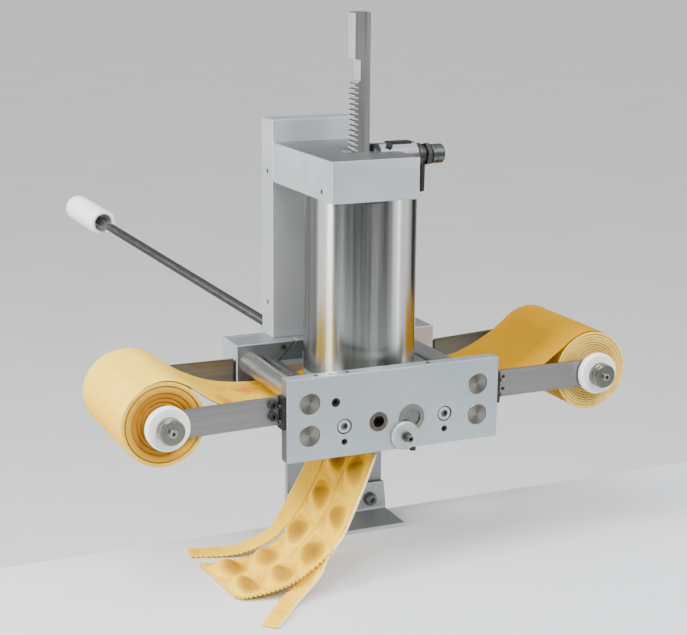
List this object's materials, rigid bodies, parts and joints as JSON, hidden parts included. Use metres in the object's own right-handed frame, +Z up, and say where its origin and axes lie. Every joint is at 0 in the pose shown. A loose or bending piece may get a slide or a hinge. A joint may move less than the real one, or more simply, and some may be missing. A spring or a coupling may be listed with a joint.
{
  "type": "ravioli maker with crank",
  "caption": "Bench ravioli maker: crank driven pocket rolls join rolled sheets of dough while a rack driven piston presses filling down between them.",
  "frame": {"origin": "on the table top at its rear edge, in the middle of the support plate's front bottom edge, where the foot bracket is bolted on", "axes": "X to the right along the front plate, +Y to the back along the roll axes towards the crank, +Z up along the filling cylinder"},
  "size_m": [0.504, 0.7835, 0.497],
  "materials": {
    "anodised_aluminium": "satin, light blue grey, bead blasted and anodised",
    "polished_steel": "polished stainless",
    "bar_steel": "bright ground bar",
    "zinc_steel": "zinc plated, dull",
    "bronze": "machined",
    "blackened_steel": "black oxide",
    "white_nylon": "turned nylon",
    "seal_rubber": "matt",
    "egg_dough": "soft, floured pasta dough, pale",
    "golden_dough": "soft pasta dough, golden"
  },
  "bodies": {
    "frame": {"front_plate": "anodised_aluminium", "support_plate": "anodised_aluminium", "gear_housing": "anodised_aluminium", "housing_cover": "anodised_aluminium", "cover_screws": "blackened_steel", "column": "anodised_aluminium", "top_block": "anodised_aluminium", "tie_bars": "bar_steel", "filling_cylinder": "polished_steel", "cylinder_lid": "anodised_aluminium", "hopper_base": "anodised_aluminium", "pinion_bushes": "bronze", "brake_barrel": "polished_steel", "barrel_collar": "blackened_steel", "barrel_strip": "blackened_steel", "brake_spring": "bar_steel", "front_bush_left": "blackened_steel", "front_bush_right": "bar_steel", "rear_bushes": "bronze", "clamp_disc": "zinc_steel", "clamp_stud": "bar_steel", "scraper_blades": "bar_steel", "guide_bars": "bar_steel", "cap_screws": "zinc_steel", "set_screws": "blackened_steel", "foot_bracket": "zinc_steel", "bracket_bolts": "zinc_steel", "arm_front_left": "bar_steel", "arm_front_right": "bar_steel", "arm_rear_left": "bar_steel", "arm_rear_right": "bar_steel", "arm_tabs": "blackened_steel", "tab_screws": "blackened_steel", "dough_sheet_left": "egg_dough", "dough_sheet_right": "golden_dough", "ravioli_strip": "egg_dough"},
    "crank_drive": {"die_roll_right": "bar_steel", "roll_gear_right": "bar_steel", "crank_arm": "bar_steel", "crank_rod": "bar_steel"},
    "driven_roll": {"die_roll_left": "bar_steel", "roll_gear_left": "bar_steel"},
    "grip": {"crank_grip": "white_nylon"},
    "rack": {"rack_bar": "bar_steel", "piston": "white_nylon", "piston_seal": "seal_rubber"},
    "pinion": {"feed_pinion": "bar_steel", "pinion_shaft": "bar_steel"},
    "brake": {"brake_plunger": "bar_steel", "brake_nut": "bar_steel", "tension_knob": "bar_steel"},
    "lever": {"release_lever": "blackened_steel"},
    "spindle_l": {"spindle_left": "bar_steel", "flange_left": "white_nylon", "spindle_knob_left": "bar_steel", "dough_roll_left": "egg_dough"},
    "spindle_r": {"spindle_right": "bar_steel", "flange_right": "white_nylon", "spindle_knob_right": "bar_steel", "dough_roll_right": "golden_dough"}
  },
  "joints": [
    {"name": "crank_turn", "type": "hinge", "parent": "frame", "child": "crank_drive", "pos_m": [0.0165, 0, 0.1404], "axis": [0, 1, 0], "continuous": true},
    {"name": "driven_roll_turn", "type": "hinge", "parent": "frame", "child": "driven_roll", "pos_m": [-0.0165, 0, 0.1404], "axis": [0, 1, 0], "continuous": true},
    {"name": "grip_spin", "type": "hinge", "parent": "crank_drive", "child": "grip", "pos_m": [-0.0324, 0.083, 0.1795], "axis": [-0.1495, 0.9834, 0.1031], "continuous": true},
    {"name": "rack_feed", "type": "slide", "parent": "frame", "child": "rack", "axis": [0, 0, 1], "range_m": [-0.07, 0.04]},
    {"name": "pinion_turn", "type": "hinge", "parent": "frame", "child": "pinion", "pos_m": [-0.0208, 0, 0.355], "axis": [0, 1, 0], "range_deg": [-200, 345]},
    {"name": "lever_turn", "type": "hinge", "parent": "brake", "child": "lever", "pos_m": [0.0615, -0.053, 0.3665], "axis": [-1, 0, 0], "range_deg": [0, 90]},
    {"name": "plunger_slide", "type": "slide", "parent": "frame", "child": "brake", "axis": [1, 0, 0], "range_m": [0, 0.0028], "stiffness_N_per_m": 600, "springref_m": -0.004, "deforming": ["brake_spring"]},
    {"name": "spindle_left_turn", "type": "hinge", "parent": "frame", "child": "spindle_l", "pos_m": [-0.21225, 0, 0.1569], "axis": [0, 1, 0], "continuous": true},
    {"name": "spindle_right_turn", "type": "hinge", "parent": "frame", "child": "spindle_r", "pos_m": [0.21575, 0, 0.1591], "axis": [0, 1, 0], "continuous": true}
  ],
  "couplings": [
    {"joint": "driven_roll_turn", "follows": "crank_turn", "ratio": -1},
    {"joint": "pinion_turn", "follows": "rack_feed", "rad_per_m": -83.333},
    {"joint": "lever_turn", "follows": "plunger_slide", "rad_per_m": 560.9}
  ]
}
